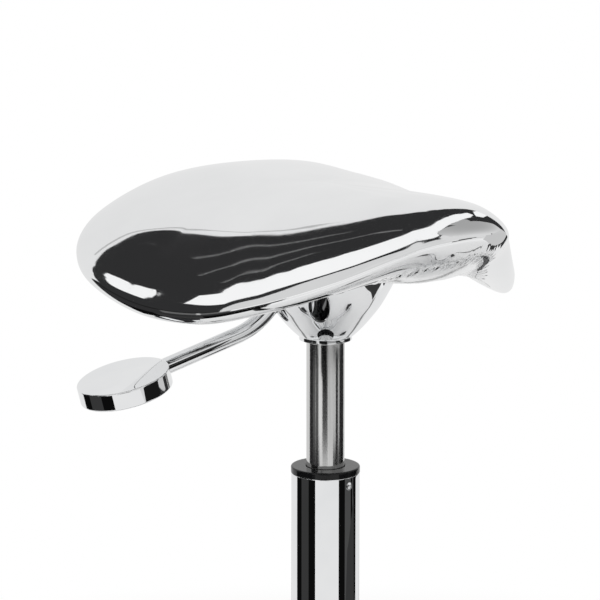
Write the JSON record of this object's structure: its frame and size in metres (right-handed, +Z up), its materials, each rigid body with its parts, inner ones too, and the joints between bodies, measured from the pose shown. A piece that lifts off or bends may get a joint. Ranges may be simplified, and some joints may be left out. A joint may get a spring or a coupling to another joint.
{
  "type": "saddle stool",
  "caption": "Saddle-shaped stool with a silver padded seat, a chrome bowl bracket, a gas-spring column with a bent height lever and disc, and a star base on castors.",
  "frame": {"origin": "on the floor, in the middle of the bounding box's bottom and within 5 mm of the column's axis", "axes": "+Z up, -Y towards the saddle's pommel (the sitter's front), -X towards the height lever (the sitter's right)"},
  "size_m": [0.5096, 0.5097, 0.5698],
  "materials": {
    "chrome": "mirror polished chrome plate",
    "satin_steel": "satin drawn steel",
    "steel": "plain zinc-plated steel",
    "black_plastic": "moulded, slightly glossy black",
    "rubber": "matt black",
    "silver_vinyl": "mirror-silver coated vinyl, smooth, stretched over foam",
    "lining": "silver coated vinyl, softly creased",
    "board": "moulded beech plywood",
    "tread": "moulded black wheel"
  },
  "bodies": {
    "base": {"base_star": "chrome", "column_tube": "chrome", "column_guide_bush": "black_plastic", "column_foot": "steel", "bearing_lower_race": "steel", "bearing_ball_cage": "steel"},
    "rod": {"piston_rod": "chrome", "piston": "steel", "bearing_upper_race": "steel", "rod_clip": "steel", "rod_bumper": "rubber"},
    "seat": {"gas_cylinder": "satin_steel", "cylinder_end_guide": "steel", "cylinder_collar": "satin_steel", "taper_socket": "chrome", "bowl_bracket": "chrome", "seat_plate": "steel", "plate_screw_1": "steel", "plate_screw_2": "steel", "plate_screw_3": "steel", "plate_screw_4": "steel", "tee_nut_1": "steel", "tee_nut_2": "steel", "tee_nut_3": "steel", "tee_nut_4": "steel", "lever_pin": "steel", "lever_pin_ring": "steel", "seat_shell": "board", "seat_cushion": "silver_vinyl", "underside_lining": "lining"},
    "lever": {"lever_rod": "chrome", "lever_disc": "chrome", "lever_cam": "steel"},
    "button": {"release_button": "steel"},
    "castor_1": {"castor_1_stem": "steel", "castor_1_hood": "black_plastic", "castor_1_axle": "steel"},
    "castor_1_right": {"castor_1_wheel_right": "tread"},
    "castor_1_left": {"castor_1_wheel_left": "tread"},
    "castor_2": {"castor_2_stem": "steel", "castor_2_hood": "black_plastic", "castor_2_axle": "steel"},
    "castor_2_right": {"castor_2_wheel_right": "tread"},
    "castor_2_left": {"castor_2_wheel_left": "tread"},
    "castor_3": {"castor_3_stem": "steel", "castor_3_hood": "black_plastic", "castor_3_axle": "steel"},
    "castor_3_right": {"castor_3_wheel_right": "tread"},
    "castor_3_left": {"castor_3_wheel_left": "tread"},
    "castor_4": {"castor_4_stem": "steel", "castor_4_hood": "black_plastic", "castor_4_axle": "steel"},
    "castor_4_right": {"castor_4_wheel_right": "tread"},
    "castor_4_left": {"castor_4_wheel_left": "tread"},
    "castor_5": {"castor_5_stem": "steel", "castor_5_hood": "black_plastic", "castor_5_axle": "steel"},
    "castor_5_right": {"castor_5_wheel_right": "tread"},
    "castor_5_left": {"castor_5_wheel_left": "tread"}
  },
  "joints": [
    {"name": "seat_swivel", "type": "hinge", "parent": "base", "child": "rod", "pos_m": [0, 0, 0.09], "axis": [0, 0, 1], "continuous": true},
    {"name": "seat_height", "type": "slide", "parent": "rod", "child": "seat", "axis": [0, 0, 1], "range_m": [-0.088, 0.042]},
    {"name": "lever_pivot", "type": "hinge", "parent": "seat", "child": "lever", "pos_m": [-0.027, 0, 0.4915], "axis": [0, 1, 0], "range_deg": [0, 6]},
    {"name": "button_press", "type": "slide", "parent": "seat", "child": "button", "axis": [0, 0, -1], "range_m": [0, 0.00283], "stiffness_N_per_m": 3000},
    {"name": "castor_1_swivel", "type": "hinge", "parent": "base", "child": "castor_1", "pos_m": [0, 0.245, 0.06], "axis": [0, 0, 1], "continuous": true},
    {"name": "castor_2_swivel", "type": "hinge", "parent": "base", "child": "castor_2", "pos_m": [-0.23301, 0.07571, 0.06], "axis": [0, 0, 1], "continuous": true},
    {"name": "castor_3_swivel", "type": "hinge", "parent": "base", "child": "castor_3", "pos_m": [-0.14401, -0.19821, 0.06], "axis": [0, 0, 1], "continuous": true},
    {"name": "castor_4_swivel", "type": "hinge", "parent": "base", "child": "castor_4", "pos_m": [0.14401, -0.19821, 0.06], "axis": [0, 0, 1], "continuous": true},
    {"name": "castor_5_swivel", "type": "hinge", "parent": "base", "child": "castor_5", "pos_m": [0.23301, 0.07571, 0.06], "axis": [0, 0, 1], "continuous": true},
    {"name": "castor_1_roll_right", "type": "hinge", "parent": "castor_1", "child": "castor_1_right", "pos_m": [0, 0.22, 0.02452], "axis": [1, 0, 0], "continuous": true},
    {"name": "castor_1_roll_left", "type": "hinge", "parent": "castor_1", "child": "castor_1_left", "pos_m": [0, 0.22, 0.02452], "axis": [1, 0, 0], "continuous": true},
    {"name": "castor_2_roll_right", "type": "hinge", "parent": "castor_2", "child": "castor_2_right", "pos_m": [-0.23301, 0.05071, 0.02452], "axis": [1, 0, 0], "continuous": true},
    {"name": "castor_2_roll_left", "type": "hinge", "parent": "castor_2", "child": "castor_2_left", "pos_m": [-0.23301, 0.05071, 0.02452], "axis": [1, 0, 0], "continuous": true},
    {"name": "castor_3_roll_right", "type": "hinge", "parent": "castor_3", "child": "castor_3_right", "pos_m": [-0.14401, -0.22321, 0.02452], "axis": [1, 0, 0], "continuous": true},
    {"name": "castor_3_roll_left", "type": "hinge", "parent": "castor_3", "child": "castor_3_left", "pos_m": [-0.14401, -0.22321, 0.02452], "axis": [1, 0, 0], "continuous": true},
    {"name": "castor_4_roll_right", "type": "hinge", "parent": "castor_4", "child": "castor_4_right", "pos_m": [0.14401, -0.22321, 0.02452], "axis": [1, 0, 0], "continuous": true},
    {"name": "castor_4_roll_left", "type": "hinge", "parent": "castor_4", "child": "castor_4_left", "pos_m": [0.14401, -0.22321, 0.02452], "axis": [1, 0, 0], "continuous": true},
    {"name": "castor_5_roll_right", "type": "hinge", "parent": "castor_5", "child": "castor_5_right", "pos_m": [0.23301, 0.05071, 0.02452], "axis": [1, 0, 0], "continuous": true},
    {"name": "castor_5_roll_left", "type": "hinge", "parent": "castor_5", "child": "castor_5_left", "pos_m": [0.23301, 0.05071, 0.02452], "axis": [1, 0, 0], "continuous": true}
  ],
  "couplings": [
    {"joint": "button_press", "follows": "lever_pivot", "m_per_rad": 0.027}
  ]
}
